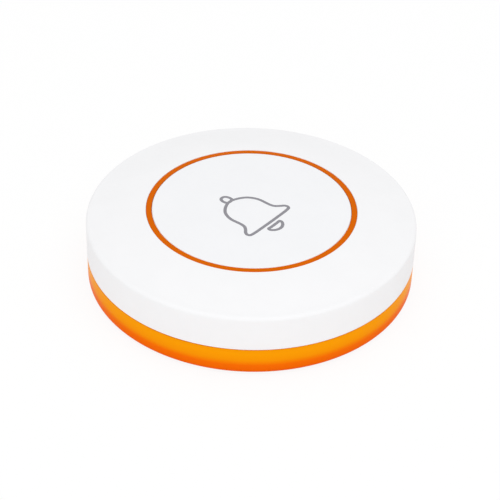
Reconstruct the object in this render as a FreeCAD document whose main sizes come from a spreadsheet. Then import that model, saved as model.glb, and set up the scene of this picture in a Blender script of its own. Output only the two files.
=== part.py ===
import FreeCAD, Part
import math
import operator
import os
from types import SimpleNamespace

import Sketcher
from FreeCAD import Placement, Rotation, Vector

# Waiter call button: a round table-top disc with a white top shell, an orange base and
# a large white push button inside an orange ring.
# Millimetres and degrees. +Z is up, the centre of the disc is on the Z axis, z = 0 is
# the surface that the rubber feet stand on, and +Y is the top of the bell sign.

SIZES = {
    # Casing, outside
    "disc_radius": 30.0,
    "base_inset": 0.2,
    "base_height": 5.45,
    "base_band_height": 2.9,
    "base_lean": 0.35,
    "base_corner": 1.1,
    "shell_edge": 0.8,
    "crown_rise": 1.65,
    # Casing, inside
    "shell_wall": 1.5,
    "shell_top_wall": 1.6,
    "tongue_wall": 1.1,
    "base_floor": 1.5,
    "tongue_height": 1.65,
    "tongue_clearance": 0.1,
    "rib_count": 6,
    "rib_width": 1.0,
    "rib_height": 1.4,
    "rib_root": 0.5,
    "rib_tower_spare": 2.0,
    # Rubber feet, over the screws
    "foot_proud": 0.3,
    "foot_thickness": 1.2,
    "foot_radius": 3.0,
    "foot_inset": 2.4,
    "foot_clearance": 0.1,
    # Housing screws
    "screw_count": 3,
    "screw_length": 9.0,
    "screw_radius": 0.85,
    "head_radius": 1.9,
    "head_height": 1.3,
    "boss_radius": 1.9,
    "column_wall": 0.9,
    "bore_spare": 0.1,
    "pass_clearance": 0.3,
    # Push button
    "button_dome": 0.35,
    "button_edge": 0.35,
    "button_wall": 1.2,
    "skirt_wall": 1.0,
    "skirt_height": 1.6,
    "post_radius": 1.6,
    "button_play": 0.15,
    "hook_count": 4,
    "hook_inset": 3.1,
    "hook_leg": 1.0,
    "hook_width": 4.0,
    "barb_reach": 0.65,
    "barb_height": 0.75,
    "barb_land": 0.25,
    "hook_clearance": 0.2,
    # Button carrier with the visible ring
    "collar_wall": 0.8,
    "collar_height": 3.35,
    "ring_recess": 0.1,
    "window_clearance": 0.1,
    "deck_thickness": 1.0,
    "deck_clearance": 0.15,
    "deck_hole_radius": 2.4,
    "flange_width": 2.95,
    "boss_clearance": 0.4,
    "leg_count": 3,
    "leg_first_angle": 60.0,
    "leg_depth": 2.0,
    "leg_width": 4.0,
    # Silicone boot
    "boot_height": 1.1,
    "boot_boss_radius": 1.3,
    "boot_web": 0.35,
    "boot_radius": 4.4,
    # Battery cover and its bay
    "cover_recess": 0.1,
    "throat_spare": 1.3,
    "ledge_width": 0.7,
    "cover_clearance": 0.3,
    "cover_turn": 40.0,
    "counterbore_depth": 0.7,
    "plug_clearance": 0.2,
    "lug_count": 3,
    "lug_angle": 26.0,
    "lug_height": 0.6,
    "entry_play_angle": 6.0,
    "slot_length": 14.0,
    "slot_width": 1.8,
    "slot_depth": 0.9,
    # Coin cell
    "cell_radius": 10.0,
    "cell_height": 3.2,
    "cell_clearance": 0.3,
    "lid_inset": 1.1,
    "lid_height": 0.5,
    # Battery contacts
    "contact_room": 0.55,
    "contact_angle": 30.0,
    "contact_thickness": 0.2,
    "contact_width": 4.0,
    "contact_foot": 2.2,
    "contact_arm": 4.2,
    "contact_stand_off": 0.8,
    "contact_tip": 0.8,
    # Circuit board
    "board_thickness": 1.0,
    "board_clearance": 0.4,
    # Push switch
    "switch_side": 6.0,
    "switch_height": 2.2,
    "switch_floor": 0.5,
    "well_radius": 2.4,
    "plate_thickness": 0.2,
    "plate_hole_radius": 1.85,
    "plunger_radius": 1.7,
    "plunger_proud": 0.8,
    "plunger_flange_radius": 2.2,
    "plunger_flange": 1.1,
    "dome_height": 0.45,
    "dome_thickness": 0.12,
    "dome_half_length": 2.2,
    "dome_crest": 0.7,
    "dome_width": 1.6,
    "terminal_width": 0.8,
    "terminal_length": 1.2,
    "terminal_thickness": 0.3,
    "terminal_spacing": 4.5,
    # Parts on the board
    "chip_length": 4.9,
    "chip_width": 3.9,
    "chip_height": 1.4,
    "chip_standoff": 0.1,
    "pin_pitch": 1.27,
    "pin_width": 0.4,
    "pin_thickness": 0.2,
    "pin_reach": 1.05,
    "pin_foot": 0.6,
    "pin_count": 4,
    "crystal_length": 5.0,
    "crystal_width": 3.2,
    "crystal_height": 0.9,
    "crystal_corner": 0.5,
    "led_length": 2.0,
    "led_width": 1.25,
    "led_height": 0.8,
    "lens_side": 0.9,
    "lens_height": 0.3,
    "capacitor_length": 2.0,
    "capacitor_width": 1.25,
    "capacitor_height": 1.0,
    "resistor_length": 2.0,
    "resistor_width": 1.2,
    "resistor_height": 0.5,
    "wire_thickness": 0.5,
    "wire_rise": 1.2,
    # Shared plays
    "face_play": 0.05,
    "cut_overrun": 0.5,
}

# Corner rounding drawn as two straight runs: how far the middle corner lies in from each side.
BEND_SHARE = 0.29
# The crown drawn as two straight runs: the middle corner's share of the rise.
CROWN_SHARE = 0.68
# How far out the button's face is level before it falls to its edge.
DOME_SHARE = 0.6
BOARD_SIDES = 12

# Places on the board as shares of its radius.
CHIP_PLACE_SHARES = (-0.3, 0.25)
CRYSTAL_PLACE_SHARES = (0.3, 0.3)
LED_PLACE_SHARES = (0.5, 0.46)
CAPACITOR_PLACE_SHARES = ((-0.07, 0.37), (0.08, 0.52), (-0.39, -0.25))
RESISTOR_PLACE_SHARES = ((0.35, -0.25), (0.35, -0.35), (-0.13, -0.42), (0.02, -0.42))
WIRE_PLACE_SHARE = -0.73
WIRE_SPAN_SHARE = 0.56
# Share of its thickness at which a part is entered by a rib, leg or lug.
ROOT_SHARE = 0.5

SIGNS = {"+": operator.add, "-": operator.sub, "*": operator.mul, "/": operator.truediv}


class Size:
    """A number of the sheet, or a sum of such numbers, with the formula that gives it."""

    def __init__(self, value, formula):
        self.value = value
        self.formula = formula

    def __add__(self, other):
        return join(self, "+", other)

    def __sub__(self, other):
        return join(self, "-", other)

    def __mul__(self, other):
        return join(self, "*", other)

    def __rmul__(self, other):
        return join(other, "*", self)

    def __truediv__(self, other):
        return join(self, "/", other)

    def __neg__(self):
        return join(0, "-", self)


def join(left, sign, right):
    """Combine two sizes, or a size and a plain ratio."""
    left, right = (item if isinstance(item, Size) else Size(item, str(item)) for item in (left, right))
    value = SIGNS[sign](left.value, right.value)
    return Size(value, f"({left.formula} {sign} {right.formula})")


doc = FreeCAD.newDocument("CallButton")
sheet = doc.addObject("Spreadsheet::Sheet", "Sizes")
for row, (alias, number) in enumerate(SIZES.items(), start=1):
    sheet.set(f"A{row}", alias)
    sheet.set(f"B{row}", str(number))
    sheet.setAlias(f"B{row}", alias)
doc.recompute()

s = SimpleNamespace(**{alias: Size(number, f"Sizes.{alias}") for alias, number in SIZES.items()})
ZERO = Size(0, "0")
ONE = Size(1, "1")
parts = []


# Sketches and features

def new_body(label):
    """Start the body of one piece."""
    body = doc.addObject("PartDesign::Body", label)
    body.Label = label
    parts.append(body)
    return body


def origin(body, role):
    """Plane or axis of the body's own origin."""
    return next(item for item in body.Origin.OriginFeatures if item.Role == role)


def draw(body, name, role, loops, lift=None, spin=None):
    """Sketch of closed outlines on an origin plane, each corner bound to two sizes."""
    sketch = place_sketch(body, name, role, lift, spin)
    for loop in loops:
        first = sketch.GeometryCount
        corners = [Vector(x.value, y.value, 0) for x, y in loop]
        for number, corner in enumerate(corners):
            following = (number + 1) % len(corners)
            sketch.addGeometry(Part.LineSegment(corner, corners[following]))
        for number, (x, y) in enumerate(loop):
            following = first + (number + 1) % len(loop)
            sketch.addConstraint(
                Sketcher.Constraint("Coincident", first + number, 2, following, 1))
            pin(sketch, first + number, 1, "DistanceX", x, -2)
            pin(sketch, first + number, 1, "DistanceY", y, -1)
    return sketch


def place_sketch(body, name, role, lift, spin):
    """Empty sketch on an origin plane, raised by lift and turned by spin."""
    sketch = body.newObject("Sketcher::SketchObject", name)
    sketch.AttachmentSupport = [(origin(body, role), "")]
    sketch.MapMode = "FlatFace"
    if lift is not None or spin is not None:
        turn = Rotation(Vector(0, 0, 1), spin.value if spin else 0)
        sketch.AttachmentOffset = Placement(Vector(0, 0, lift.value if lift else 0), turn)
    if lift is not None:
        sketch.setExpression("AttachmentOffset.Base.z", lift.formula)
    if spin is not None:
        sketch.setExpression("AttachmentOffset.Rotation.Angle", spin.formula)
    return sketch


def pin(sketch, edge, vertex, kind, size, axis):
    """Hold one vertex at a size from an axis of the sketch, or on the axis where it is zero."""
    if size is ZERO:
        sketch.addConstraint(Sketcher.Constraint("PointOnObject", edge, vertex, axis))
        return
    mark = sketch.addConstraint(Sketcher.Constraint(kind, -1, 1, edge, vertex, size.value))
    sketch.setExpression(f"Constraints[{mark}]", size.formula)


def draw_circles(body, name, circles, lift=None, spin=None):
    """Sketch of circles in the XY plane, each given by x, y and radius."""
    sketch = place_sketch(body, name, "XY_Plane", lift, spin)
    for number, (x, y, radius) in enumerate(circles):
        sketch.addGeometry(Part.Circle(Vector(x.value, y.value, 0), Vector(0, 0, 1), radius.value))
        mark = sketch.addConstraint(Sketcher.Constraint("Radius", number, radius.value))
        sketch.setExpression(f"Constraints[{mark}]", radius.formula)
        pin(sketch, number, 3, "DistanceX", x, -2)
        pin(sketch, number, 3, "DistanceY", y, -1)
    return sketch


def turn(body, sketch, angle=None, cut=False):
    """Turn a profile about the Z axis, all round or by an angle centred on the profile."""
    kind = "PartDesign::Groove" if cut else "PartDesign::Revolution"
    feature = body.newObject(kind, f"{sketch.Name}Turn")
    feature.Profile = sketch
    feature.ReferenceAxis = (origin(body, "Z_Axis"), [""])
    feature.Angle = 360
    if angle is not None:
        feature.setExpression("Angle", angle.formula)
        feature.Midplane = True
    sketch.Visibility = False
    return feature


def raise_by(body, sketch, length, cut=False, down=False, both_ways=False):
    """Pad or pocket a sketch by a length, upwards unless down is set."""
    kind = "PartDesign::Pocket" if cut else "PartDesign::Pad"
    feature = body.newObject(kind, f"{sketch.Name}Cut" if cut else f"{sketch.Name}Pad")
    feature.Profile = sketch
    feature.Type = "Length"
    feature.setExpression("Length", length.formula)
    feature.Midplane = both_ways
    feature.Reversed = down != cut
    return feature


def around(body, features, count):
    """Repeat features at equal steps about the Z axis."""
    pattern = body.newObject("PartDesign::PolarPattern", f"{features[0].Name}Round")
    pattern.Originals = features
    pattern.Axis = (origin(body, "Z_Axis"), [""])
    pattern.Angle = 360
    pattern.setExpression("Occurrences", count.formula)
    body.Tip = pattern
    return pattern


def ring(inner, outer, low, high):
    """Corners of a rectangular ring section."""
    return [(inner, low), (outer, low), (outer, high), (inner, high)]


def rectangle(centre_x, centre_y, length, width):
    """Corners of a rectangle about a centre."""
    left, right = centre_x - length / 2, centre_x + length / 2
    front, back = centre_y - width / 2, centre_y + width / 2
    return [(left, front), (right, front), (right, back), (left, back)]


# Levels, from the table up

base_bottom = s.foot_proud
floor_top = base_bottom + s.base_floor
seam = base_bottom + s.base_height
tongue_top = seam + s.tongue_height
head_seat = s.foot_thickness + s.face_play + s.head_height

cover_face = base_bottom + s.cover_recess
ledge_bottom = base_bottom + s.counterbore_depth
cover_top = floor_top + s.lug_height

cell_bottom = cover_top + s.face_play
cell_top = cell_bottom + s.cell_height
board_bottom = cell_top + s.contact_room
board_top = board_bottom + s.board_thickness
switch_top = board_top + s.switch_height
plate_top = switch_top + s.plate_thickness
plunger_top = plate_top + s.plunger_proud

deck_bottom = plate_top + s.deck_clearance
deck_top = deck_bottom + s.deck_thickness
ring_top = deck_top + s.collar_height
crown_top = ring_top + s.ring_recess
crown_edge = crown_top - s.crown_rise
crown_middle = crown_top - s.crown_rise / 2
boot_top = deck_top + s.boot_height
button_underside = crown_top - s.button_wall

# Radii, from the middle out

throat_radius = s.cell_radius + s.throat_spare
cover_radius = throat_radius + s.ledge_width
bay_radius = cover_radius + s.cover_clearance
plug_radius = throat_radius - s.plug_clearance
base_radius = s.disc_radius - s.base_inset
shell_inner = s.disc_radius - s.shell_wall
tongue_outer = shell_inner - s.tongue_clearance
tongue_inner = tongue_outer - s.tongue_wall
board_radius = tongue_inner - s.board_clearance
foot_pocket_radius = s.foot_radius + s.foot_clearance
screw_ring = base_radius - s.foot_inset - foot_pocket_radius
pass_radius = s.screw_radius + s.pass_clearance
flange_radius = screw_ring - s.boss_radius - s.boss_clearance
collar_outer = flange_radius - s.flange_width
collar_inner = collar_outer - s.collar_wall
window_radius = collar_outer + s.window_clearance
button_radius = collar_inner - s.button_play
hook_radius = button_radius - s.hook_inset
leg_middle = flange_radius - s.leg_depth / 2


# Casing

def make_top_shell():
    """White ABS shell: side wall, crowned top with the round window, screw bosses."""
    body = new_body("top_shell")
    edge = s.shell_edge
    crown_start = s.disc_radius - edge
    underside = crown_middle - s.shell_top_wall
    section = [
        (s.disc_radius, seam), (s.disc_radius, crown_edge - edge),
        (s.disc_radius - BEND_SHARE * edge, crown_edge - BEND_SHARE * edge),
        (crown_start, crown_edge),
        ((crown_start + window_radius) / 2, crown_edge + CROWN_SHARE * s.crown_rise),
        (window_radius, crown_top), (window_radius, underside),
        (shell_inner, underside), (shell_inner, seam),
    ]
    turn(body, draw(body, "ShellSection", "XZ_Plane", [section]))

    boss = raise_by(
        body, draw_circles(body, "Boss", [(screw_ring, ZERO, s.boss_radius)], board_top),
        crown_edge - board_top)
    bore_depth = head_seat + s.screw_length + s.bore_spare - board_top
    bore = raise_by(
        body, draw_circles(body, "Bore", [(screw_ring, ZERO, s.screw_radius)], board_top),
        bore_depth, cut=True)
    around(body, [boss, bore], s.screw_count)

    # Short ribs that press on the flange of the button carrier.
    rib = rectangle(leg_middle, ZERO, s.leg_depth, s.leg_width)
    sketch = draw(body, "StopRib", "XY_Plane", [rib], lift=deck_top, spin=s.leg_first_angle)
    around(body, [raise_by(body, sketch, crown_edge - deck_top)], s.leg_count)


def make_base_shell():
    """Orange ABS dish: floor, wall with the tongue, and the bayonet bay for the coin cell."""
    body = new_body("base_shell")
    corner = s.base_corner
    foot_of_wall = base_radius - s.base_lean
    section = [
        (bay_radius, base_bottom), (foot_of_wall - corner, base_bottom),
        (foot_of_wall - BEND_SHARE * corner, base_bottom + BEND_SHARE * corner),
        (foot_of_wall, base_bottom + corner), (base_radius, seam - s.base_band_height),
        (base_radius, seam), (tongue_outer, seam), (tongue_outer, tongue_top),
        (tongue_inner, tongue_top), (tongue_inner, floor_top),
        (throat_radius, floor_top), (throat_radius, ledge_bottom), (bay_radius, ledge_bottom),
    ]
    turn(body, draw(body, "DishSection", "XZ_Plane", [section]))

    # Bayonet entries through the ledge.
    entry = ring(throat_radius - s.cut_overrun, bay_radius, ledge_bottom, floor_top)
    entry_angle = s.lug_angle + s.entry_play_angle
    notch = turn(body, draw(body, "Entry", "XZ_Plane", [entry]), angle=entry_angle, cut=True)
    around(body, [notch], s.lug_count)

    # Ribs from the wall to the bay. Each ends in a tower that carries the board and keeps
    # the cell central, and is cut back above the bayonet lugs.
    tower_inner = s.cell_radius + s.cell_clearance
    tower_outer = bay_radius + s.rib_tower_spare
    low = floor_top - s.rib_root
    rib = [
        (bay_radius, low), (tongue_inner + ROOT_SHARE * s.tongue_wall, low),
        (tongue_inner + ROOT_SHARE * s.tongue_wall, floor_top + s.rib_height),
        (tower_outer, floor_top + s.rib_height), (tower_outer, board_bottom),
        (tower_inner, board_bottom), (tower_inner, cover_top + s.cell_clearance),
        (bay_radius, cover_top + s.cell_clearance),
    ]
    rib_pad = raise_by(body, draw(body, "Rib", "XZ_Plane", [rib]), s.rib_width, both_ways=True)
    around(body, [rib_pad], s.rib_count)

    # Columns for the housing screws. Each has a pocket for the screw head and the foot.
    column_radius = foot_pocket_radius + s.column_wall
    column = raise_by(
        body, draw_circles(body, "Column", [(screw_ring, ZERO, column_radius)], low),
        board_bottom - low)
    pocket = raise_by(
        body,
        draw_circles(body, "Pocket", [(screw_ring, ZERO, foot_pocket_radius)], base_bottom),
        head_seat - base_bottom, cut=True)
    passage = raise_by(
        body, draw_circles(body, "Passage", [(screw_ring, ZERO, pass_radius)], head_seat),
        board_bottom - head_seat, cut=True)
    around(body, [column, pocket, passage], s.screw_count)


def make_feet():
    """Rubber plugs that close the screw pockets and carry the device."""
    body = new_body("rubber_feet")
    sketch = draw_circles(body, "Foot", [(screw_ring, ZERO, s.foot_radius)])
    around(body, [raise_by(body, sketch, s.foot_thickness)], s.screw_count)


def make_screws():
    """Self-tapping screws, heads down in the pockets of the base."""
    body = new_body("housing_screws")
    face = head_seat - s.head_height
    head = raise_by(
        body, draw_circles(body, "Head", [(screw_ring, ZERO, s.head_radius)], face),
        s.head_height)
    shank = raise_by(
        body, draw_circles(body, "Shank", [(screw_ring, ZERO, s.screw_radius)], head_seat),
        s.screw_length)
    around(body, [head, shank], s.screw_count)


# Push button, its carrier and the boot

def make_button_cap():
    """White ABS cap: domed face, skirt, centre post and snap hooks."""
    body = new_body("button_cap")
    skirt_bottom = crown_top - s.skirt_height
    skirt_inner = button_radius - s.skirt_wall
    post_bottom = boot_top + s.face_play
    section = [
        (ZERO, post_bottom), (s.post_radius, post_bottom),
        (s.post_radius, button_underside), (skirt_inner, button_underside),
        (skirt_inner, skirt_bottom), (button_radius, skirt_bottom),
        (button_radius, crown_top - s.button_edge),
        (button_radius - s.button_edge, crown_top),
        (DOME_SHARE * button_radius, crown_top + s.button_dome),
        (ZERO, crown_top + s.button_dome),
    ]
    turn(body, draw(body, "CapSection", "XZ_Plane", [section]))
    leg_outer = hook_radius + s.hook_leg
    barb_top = deck_bottom - s.face_play
    hook_root = button_underside + ROOT_SHARE * s.button_wall
    hook = [
        (hook_radius, barb_top - s.barb_height), (leg_outer, barb_top - s.barb_height),
        (leg_outer + s.barb_reach, barb_top - s.barb_land), (leg_outer + s.barb_reach, barb_top),
        (leg_outer, barb_top), (leg_outer, hook_root), (hook_radius, hook_root),
    ]
    leg = raise_by(body, draw(body, "Hook", "XZ_Plane", [hook]), s.hook_width, both_ways=True)
    around(body, [leg], s.hook_count)


def make_button_carrier():
    """Orange ABS carrier: the visible ring is the top of its collar."""
    body = new_body("button_carrier")
    section = [
        (s.deck_hole_radius, deck_bottom), (flange_radius, deck_bottom),
        (flange_radius, deck_top), (collar_outer, deck_top),
        (collar_outer, ring_top), (collar_inner, ring_top),
        (collar_inner, deck_top), (s.deck_hole_radius, deck_top),
    ]
    turn(body, draw(body, "CarrierSection", "XZ_Plane", [section]))
    low = hook_radius - s.hook_clearance
    high = hook_radius + s.hook_leg + s.hook_clearance
    slot = rectangle((low + high) / 2, ZERO, high - low, s.hook_width + 2 * s.hook_clearance)
    hook_slot = raise_by(body, draw(body, "HookSlot", "XY_Plane", [slot], lift=deck_bottom),
                         s.deck_thickness, cut=True)
    around(body, [hook_slot], s.hook_count)

    # Legs that stand on the board, below the stop ribs of the shell.
    leg = rectangle(leg_middle, ZERO, s.leg_depth, s.leg_width)
    sketch = draw(body, "Leg", "XY_Plane", [leg], lift=board_top, spin=s.leg_first_angle)
    around(body, [raise_by(body, sketch, deck_bottom - board_top)], s.leg_count)


def make_plunger_boot():
    """Silicone boot that seals the deck hole and passes the push on to the switch."""
    body = new_body("plunger_boot")
    boss_bottom = plunger_top + s.face_play
    section = [
        (ZERO, boss_bottom), (s.boot_boss_radius, boss_bottom), (s.boot_boss_radius, deck_top),
        (s.boot_radius, deck_top), (s.boot_radius, deck_top + s.boot_web),
        (s.boot_boss_radius, deck_top + s.boot_web), (s.boot_boss_radius, boot_top),
        (ZERO, boot_top),
    ]
    turn(body, draw(body, "BootSection", "XZ_Plane", [section]))


# Battery bay

def make_battery_cover():
    """Orange bayonet cover with a coin slot, locked: turned away from its entries."""
    body = new_body("battery_cover")
    flange_top = ledge_bottom - s.face_play
    section = [
        (ZERO, cover_face), (cover_radius, cover_face), (cover_radius, flange_top),
        (plug_radius, flange_top), (plug_radius, cover_top), (ZERO, cover_top),
    ]
    turn(body, draw(body, "CoverSection", "XZ_Plane", [section]))
    lug_section = ring(ROOT_SHARE * plug_radius, cover_radius, floor_top + s.face_play, cover_top)
    lug = turn(body, draw(body, "Lug", "XZ_Plane", [lug_section]), angle=s.lug_angle)
    around(body, [lug], s.lug_count)
    slot = rectangle(ZERO, ZERO, s.slot_length, s.slot_width)
    sketch = draw(body, "CoinSlot", "XY_Plane", [slot], lift=cover_face)
    raise_by(body, sketch, s.slot_depth, cut=True)
    body.setExpression("Placement.Rotation.Angle", s.cover_turn.formula)


def make_coin_cell():
    """Coin cell: steel can, and the smaller steel lid on top."""
    lid_bottom = cell_top - s.lid_height
    can = new_body("cell_can")
    raise_by(can, draw_circles(can, "Can", [(ZERO, ZERO, s.cell_radius)], cell_bottom),
             lid_bottom - cell_bottom)
    lid = new_body("cell_lid")
    lid_circle = (ZERO, ZERO, s.cell_radius - s.lid_inset)
    raise_by(lid, draw_circles(lid, "Lid", [lid_circle], lid_bottom), s.lid_height)


def make_contacts():
    """Two bent spring strips under the board: a side leaf and a bowed leaf on the lid."""
    strip = s.contact_thickness
    touch = s.cell_radius + s.face_play
    upright = touch + s.contact_stand_off
    knee = (cell_bottom + cell_top) / 2
    toe = knee - s.contact_tip
    side = new_body("contact_positive")
    leaf = [
        (upright + s.contact_foot, board_bottom), (upright, board_bottom),
        (touch, knee), (touch + strip, toe), (touch + 2 * strip, toe),
        (touch + strip, knee), (upright + strip, board_bottom - strip),
        (upright + s.contact_foot, board_bottom - strip),
    ]
    raise_by(side, draw(side, "SideLeaf", "XZ_Plane", [leaf]), s.contact_width, both_ways=True)
    side.setExpression("Placement.Rotation.Angle", s.contact_angle.formula)
    top = new_body("contact_negative")
    reach = s.contact_arm + s.contact_foot
    low = cell_top + s.face_play
    bow = [
        (-reach, board_bottom), (-reach, board_bottom - strip),
        (-s.contact_arm, board_bottom - strip), (-s.contact_tip, low),
        (s.contact_tip, low), (s.contact_arm, board_bottom - strip),
        (reach, board_bottom - strip), (reach, board_bottom),
        (s.contact_arm, board_bottom), (s.contact_tip, low + strip),
        (-s.contact_tip, low + strip), (-s.contact_arm, board_bottom),
    ]
    raise_by(top, draw(top, "BowLeaf", "XZ_Plane", [bow]), s.contact_width, both_ways=True)


# Circuit board and what it carries

def on_board(shares):
    """Place on the board from shares of its radius."""
    return shares[0] * board_radius, shares[1] * board_radius


def make_circuit_board():
    """Twelve-sided board, clamped at the housing screws that pass through it."""
    body = new_body("circuit_board")
    turns = [2 * math.pi * number / BOARD_SIDES for number in range(BOARD_SIDES)]
    outline = [on_board((math.cos(angle), math.sin(angle))) for angle in turns]
    raise_by(body, draw(body, "Outline", "XY_Plane", [outline], lift=board_bottom),
             s.board_thickness)
    sketch = draw_circles(body, "ScrewHole", [(screw_ring, ZERO, pass_radius)], board_bottom)
    around(body, [raise_by(body, sketch, s.board_thickness, cut=True)], s.screw_count)


def make_switch():
    """Push switch: box with a round well, snap spring, plunger, steel cover plate, terminals."""
    box = new_body("switch_housing")
    outline = rectangle(ZERO, ZERO, s.switch_side, s.switch_side)
    raise_by(box, draw(box, "Box", "XY_Plane", [outline], lift=board_top), s.switch_height)
    floor = board_top + s.switch_floor
    well = draw_circles(box, "Well", [(ZERO, ZERO, s.well_radius)], floor)
    raise_by(box, well, s.switch_height - s.switch_floor, cut=True)

    plate = new_body("switch_cover_plate")
    raise_by(plate, draw(plate, "Plate", "XY_Plane", [outline], lift=switch_top), s.plate_thickness)
    hole = draw_circles(plate, "PlateHole", [(ZERO, ZERO, s.plate_hole_radius)], switch_top)
    raise_by(plate, hole, s.plate_thickness, cut=True)

    snap = new_body("switch_dome")
    rim = floor + s.face_play
    apex = rim + s.dome_height
    end, crest, thick = s.dome_half_length, s.dome_crest, s.dome_thickness
    bow = [
        (-end, rim), (-end + thick, rim), (-crest, apex - thick), (crest, apex - thick),
        (end - thick, rim), (end, rim), (crest, apex), (-crest, apex),
    ]
    raise_by(snap, draw(snap, "Bow", "XZ_Plane", [bow]), s.dome_width, both_ways=True)

    plunger = new_body("switch_plunger")
    flange_high = switch_top - s.face_play
    flange_low = flange_high - s.plunger_flange
    section = [
        (ZERO, flange_low), (s.plunger_flange_radius, flange_low),
        (s.plunger_flange_radius, flange_high), (s.plunger_radius, flange_high),
        (s.plunger_radius, plunger_top), (ZERO, plunger_top),
    ]
    turn(plunger, draw(plunger, "PlungerSection", "XZ_Plane", [section]))

    pins = new_body("switch_terminals")
    across = s.switch_side / 2 + s.terminal_length / 2
    along = s.terminal_spacing / 2
    loops = [
        rectangle(x, y, s.terminal_length, s.terminal_width)
        for x in (across, -across) for y in (along, -along)
    ]
    raise_by(pins, draw(pins, "Pins", "XY_Plane", loops, lift=board_top), s.terminal_thickness)


def make_chip():
    """Transmitter chip in an eight-pin package."""
    x, y = on_board(CHIP_PLACE_SHARES)
    low = board_top + s.chip_standoff
    body = new_body("radio_chip")
    outline = rectangle(x, y, s.chip_width, s.chip_length)
    raise_by(body, draw(body, "Package", "XY_Plane", [outline], lift=low), s.chip_height)

    pins = new_body("chip_legs")
    half = s.chip_width / 2
    middle = low + s.chip_height / 2
    knee = half + s.pin_reach - s.pin_foot
    end = half + s.pin_reach
    strip = s.pin_thickness
    wing = [
        (half, middle), (knee, middle), (knee, board_top), (end, board_top),
        (end, board_top + strip), (knee + strip, board_top + strip),
        (knee + strip, middle + strip), (half, middle + strip),
    ]
    loops = [[(x + across, level) for across, level in wing],
             [(x - across, level) for across, level in wing]]
    row_length = s.pin_pitch * (s.pin_count - ONE)
    sketch = draw(pins, "Wings", "XZ_Plane", loops, lift=row_length / 2 - y)
    pad = raise_by(pins, sketch, s.pin_width, both_ways=True)
    row = pins.newObject("PartDesign::LinearPattern", "PinRow")
    row.Originals = [pad]
    row.Direction = (origin(pins, "Y_Axis"), [""])
    row.setExpression("Length", row_length.formula)
    row.setExpression("Occurrences", s.pin_count.formula)
    pins.Tip = row


def make_small_parts():
    """Crystal, light, capacitors and resistors on top of the board."""
    crystal = new_body("crystal")
    x, y = on_board(CRYSTAL_PLACE_SHARES)
    outline = rectangle(x, y, s.crystal_length, s.crystal_width)
    raise_by(crystal, draw(crystal, "Can", "XY_Plane", [outline], lift=board_top), s.crystal_height)
    doc.recompute()
    block = crystal.Tip
    uprights = [
        f"Edge{number}" for number, edge in enumerate(block.Shape.Edges, start=1)
        if abs(edge.Vertexes[0].Z - edge.Vertexes[-1].Z) > s.crystal_height.value / 2
    ]
    corner = crystal.newObject("PartDesign::Fillet", "CanCorners")
    corner.Base = (block, uprights)
    corner.setExpression("Radius", s.crystal_corner.formula)

    light = new_body("status_led")
    x, y = on_board(LED_PLACE_SHARES)
    outline = rectangle(x, y, s.led_length, s.led_width)
    raise_by(light, draw(light, "Carrier", "XY_Plane", [outline], lift=board_top), s.led_height)
    outline = rectangle(x, y, s.lens_side, s.lens_side)
    lens = draw(light, "Lens", "XY_Plane", [outline], lift=board_top + s.led_height)
    raise_by(light, lens, s.lens_height)

    for label, shares, length, width, height in (
        ("capacitors", CAPACITOR_PLACE_SHARES, s.capacitor_length, s.capacitor_width,
         s.capacitor_height),
        ("resistors", RESISTOR_PLACE_SHARES, s.resistor_length, s.resistor_width,
         s.resistor_height),
    ):
        body = new_body(label)
        loops = [rectangle(*on_board(place), length, width) for place in shares]
        raise_by(body, draw(body, "Bricks", "XY_Plane", loops, lift=board_top), height)


def make_antenna_wire():
    """Flat wire aerial: a low bridge near the edge of the board."""
    body = new_body("antenna_wire")
    half = WIRE_SPAN_SHARE * board_radius / 2
    top = board_top + s.wire_rise
    thick = s.wire_thickness
    bridge = [
        (-half, board_top), (-half + thick, board_top), (-half + thick, top - thick),
        (half - thick, top - thick), (half - thick, board_top), (half, board_top),
        (half, top), (-half, top),
    ]
    back = WIRE_PLACE_SHARE * board_radius
    raise_by(body, draw(body, "Bridge", "XZ_Plane", [bridge], lift=-back), thick, both_ways=True)


def write_parts():
    """Check every object of the document, then write one file for each piece."""
    doc.recompute()
    for item in doc.Objects:
        if "Invalid" in item.State or "Error" in item.State:
            raise RuntimeError(f"{item.Label} failed: {item.State}")
    for body in parts:
        if body.Shape.isNull() or not body.Shape.isValid() or not body.Shape.Solids:
            raise RuntimeError(f"{body.Label} has no valid solid")
    os.makedirs("parts", exist_ok=True)
    for body in parts:
        body.Shape.exportStep(f"parts/{body.Label}.step")
        box = body.Shape.BoundBox
        print(f"{body.Label}: {len(body.Shape.Solids)} solids, {body.Shape.Volume:.2f} mm3, "
              f"z {box.ZMin:.2f} to {box.ZMax:.2f}")


make_top_shell()
make_base_shell()
make_feet()
make_screws()
make_button_cap()
make_button_carrier()
make_plunger_boot()
make_battery_cover()
make_coin_cell()
make_contacts()
make_circuit_board()
make_switch()
make_chip()
make_small_parts()
make_antenna_wire()
write_parts()
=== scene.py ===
"""Waiter call button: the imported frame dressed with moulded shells, inks and finishes."""

import math

import bmesh
import bpy
from mathutils import Matrix, Vector


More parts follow.
